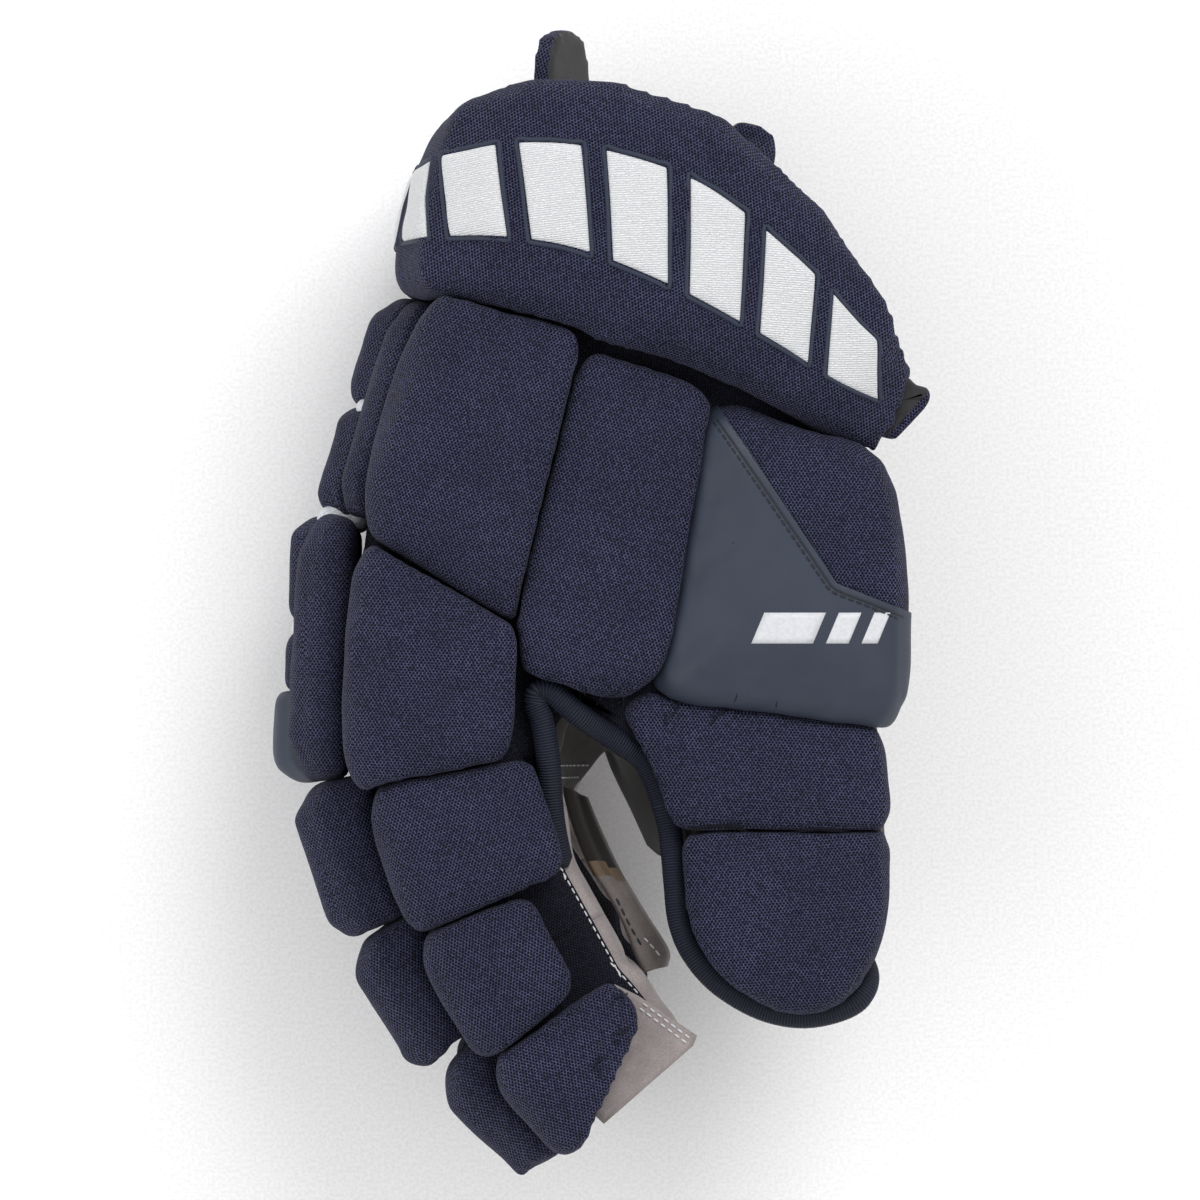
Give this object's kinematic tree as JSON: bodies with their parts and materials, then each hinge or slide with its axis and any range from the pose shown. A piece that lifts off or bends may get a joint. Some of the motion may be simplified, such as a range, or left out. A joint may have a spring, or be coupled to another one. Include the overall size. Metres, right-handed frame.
{
  "type": "ice hockey glove",
  "caption": "Padded right-hand ice hockey glove with a foam cuff, sewn rolls over back and fingers, a two-part locked thumb and a suede palm; fingers, thumb and cuff flex.",
  "frame": {"origin": "middle of the bounding box, on the surface the glove lies on", "axes": "+X from the back of the hand to the palm, +Y from the fingertips to the cuff, +Z from the little finger up to the thumb side"},
  "size_m": [0.2058, 0.3538, 0.134],
  "materials": {
    "knit": "open-pored knit mesh over foam, matte",
    "vinyl": "grained vinyl-coated fabric over foam, soft sheen",
    "stripe": "white woven tape, matte",
    "braid": "ribbed braided binding",
    "plastic": "plain polyethylene sheet",
    "palm_suede": "synthetic suede, napped",
    "dark_suede": "synthetic suede, napped",
    "liner": "brushed lining fabric"
  },
  "bodies": {
    "hand": {"index_upper_roll": "knit", "index_lower_roll": "knit", "little_upper_roll": "knit", "little_lower_roll": "knit", "middle_upper_roll": "knit", "middle_lower_roll": "knit", "ring_roll_1": "knit", "ring_roll_2": "knit", "ring_roll_3": "knit", "ring_roll_4": "knit", "knuckle_cap": "vinyl", "flex_stripe_1": "stripe", "flex_stripe_2": "stripe", "flex_stripe_3": "stripe", "back_liner": "liner", "thumb_side_liner": "liner", "little_side_liner": "liner", "palm_panel": "palm_suede", "backhand_shield": "plastic", "thumb_side_roll": "knit", "thumb_base_block": "vinyl", "thenar_panel": "palm_suede", "heel_pad": "knit"},
    "index_proximal": {"index_proximal_sleeve": "liner", "index_proximal_roll": "knit", "index_edge_binding": "braid"},
    "index_middle": {"index_middle_sleeve": "liner", "index_middle_roll": "knit"},
    "index_distal": {"index_distal_sleeve": "liner", "index_distal_roll": "knit"},
    "middle_proximal": {"middle_proximal_sleeve": "liner", "middle_proximal_roll": "knit"},
    "middle_middle": {"middle_middle_sleeve": "liner", "middle_middle_roll": "knit"},
    "middle_distal": {"middle_distal_sleeve": "liner", "middle_distal_roll": "knit"},
    "ring_proximal": {"ring_proximal_sleeve": "liner", "ring_proximal_roll": "knit"},
    "ring_middle": {"ring_middle_sleeve": "liner", "ring_middle_roll": "knit"},
    "ring_distal": {"ring_distal_sleeve": "liner", "ring_distal_roll": "knit"},
    "little_proximal": {"little_proximal_sleeve": "liner", "little_proximal_roll": "knit"},
    "little_middle": {"little_middle_sleeve": "liner", "little_middle_roll": "knit"},
    "little_distal": {"little_distal_sleeve": "liner", "little_distal_roll": "knit"},
    "thumb_base": {"thumb_base_pad": "knit", "thumb_base_sleeve": "dark_suede", "crotch_binding": "braid"},
    "thumb_tip": {"thumb_tip_pad": "knit", "thumb_tip_sleeve": "dark_suede", "thumb_lock_plate": "plastic", "thumb_tip_binding": "braid"},
    "cuff": {"cuff_roll": "knit", "cuff_liner": "liner", "back_tab": "dark_suede", "thumb_side_tab": "dark_suede", "palm_tab": "dark_suede"}
  },
  "joints": [
    {"name": "cuff_hinge", "type": "hinge", "parent": "hand", "child": "cuff", "pos_m": [-0.05964, 0.09385, 0.066], "axis": [0, 0, 1], "range_deg": [-2, 12]},
    {"name": "thumb_base_hinge", "type": "hinge", "parent": "hand", "child": "thumb_base", "pos_m": [0.04936, -0.03565, 0.1], "axis": [-1, 0, 0], "range_deg": [-25, 4]},
    {"name": "thumb_tip_hinge", "type": "hinge", "parent": "thumb_base", "child": "thumb_tip", "pos_m": [0.05736, -0.07115, 0.10238], "axis": [-1, 0, 0], "range_deg": [-20, 5]},
    {"name": "index_proximal_hinge", "type": "hinge", "parent": "hand", "child": "index_proximal", "pos_m": [-0.05064, -0.05365, 0.1027], "axis": [0, 0, 1], "range_deg": [-12, 4]},
    {"name": "index_middle_hinge", "type": "hinge", "parent": "index_proximal", "child": "index_middle", "pos_m": [-0.03705, -0.09549, 0.1027], "axis": [0, 0, 1], "range_deg": [-10, 6]},
    {"name": "index_distal_hinge", "type": "hinge", "parent": "index_middle", "child": "index_distal", "pos_m": [-0.01766, -0.13048, 0.1027], "axis": [0, 0, 1], "range_deg": [-10, 8]},
    {"name": "middle_proximal_hinge", "type": "hinge", "parent": "hand", "child": "middle_proximal", "pos_m": [-0.06814, -0.05365, 0.0771], "axis": [0, 0, 1], "range_deg": [-12, 12]},
    {"name": "middle_middle_hinge", "type": "hinge", "parent": "middle_proximal", "child": "middle_middle", "pos_m": [-0.05455, -0.09549, 0.0771], "axis": [0, 0, 1], "range_deg": [-10, 14]},
    {"name": "middle_distal_hinge", "type": "hinge", "parent": "middle_middle", "child": "middle_distal", "pos_m": [-0.03222, -0.12988, 0.0771], "axis": [0, 0, 1], "range_deg": [-10, 14]},
    {"name": "ring_proximal_hinge", "type": "hinge", "parent": "hand", "child": "ring_proximal", "pos_m": [-0.06814, -0.05365, 0.0515], "axis": [0, 0, 1], "range_deg": [-12, 25]},
    {"name": "ring_middle_hinge", "type": "hinge", "parent": "ring_proximal", "child": "ring_middle", "pos_m": [-0.05378, -0.09311, 0.0515], "axis": [0, 0, 1], "range_deg": [-10, 25]},
    {"name": "ring_distal_hinge", "type": "hinge", "parent": "ring_middle", "child": "ring_distal", "pos_m": [-0.031, -0.12227, 0.0515], "axis": [0, 0, 1], "range_deg": [-10, 25]},
    {"name": "little_proximal_hinge", "type": "hinge", "parent": "hand", "child": "little_proximal", "pos_m": [-0.05064, -0.05165, 0.0259], "axis": [0, 0, 1], "range_deg": [-12, 25]},
    {"name": "little_middle_hinge", "type": "hinge", "parent": "little_proximal", "child": "little_middle", "pos_m": [-0.03833, -0.08547, 0.0259], "axis": [0, 0, 1], "range_deg": [-10, 25]},
    {"name": "little_distal_hinge", "type": "hinge", "parent": "little_middle", "child": "little_distal", "pos_m": [-0.02199, -0.11064, 0.0259], "axis": [0, 0, 1], "range_deg": [-10, 25]}
  ]
}
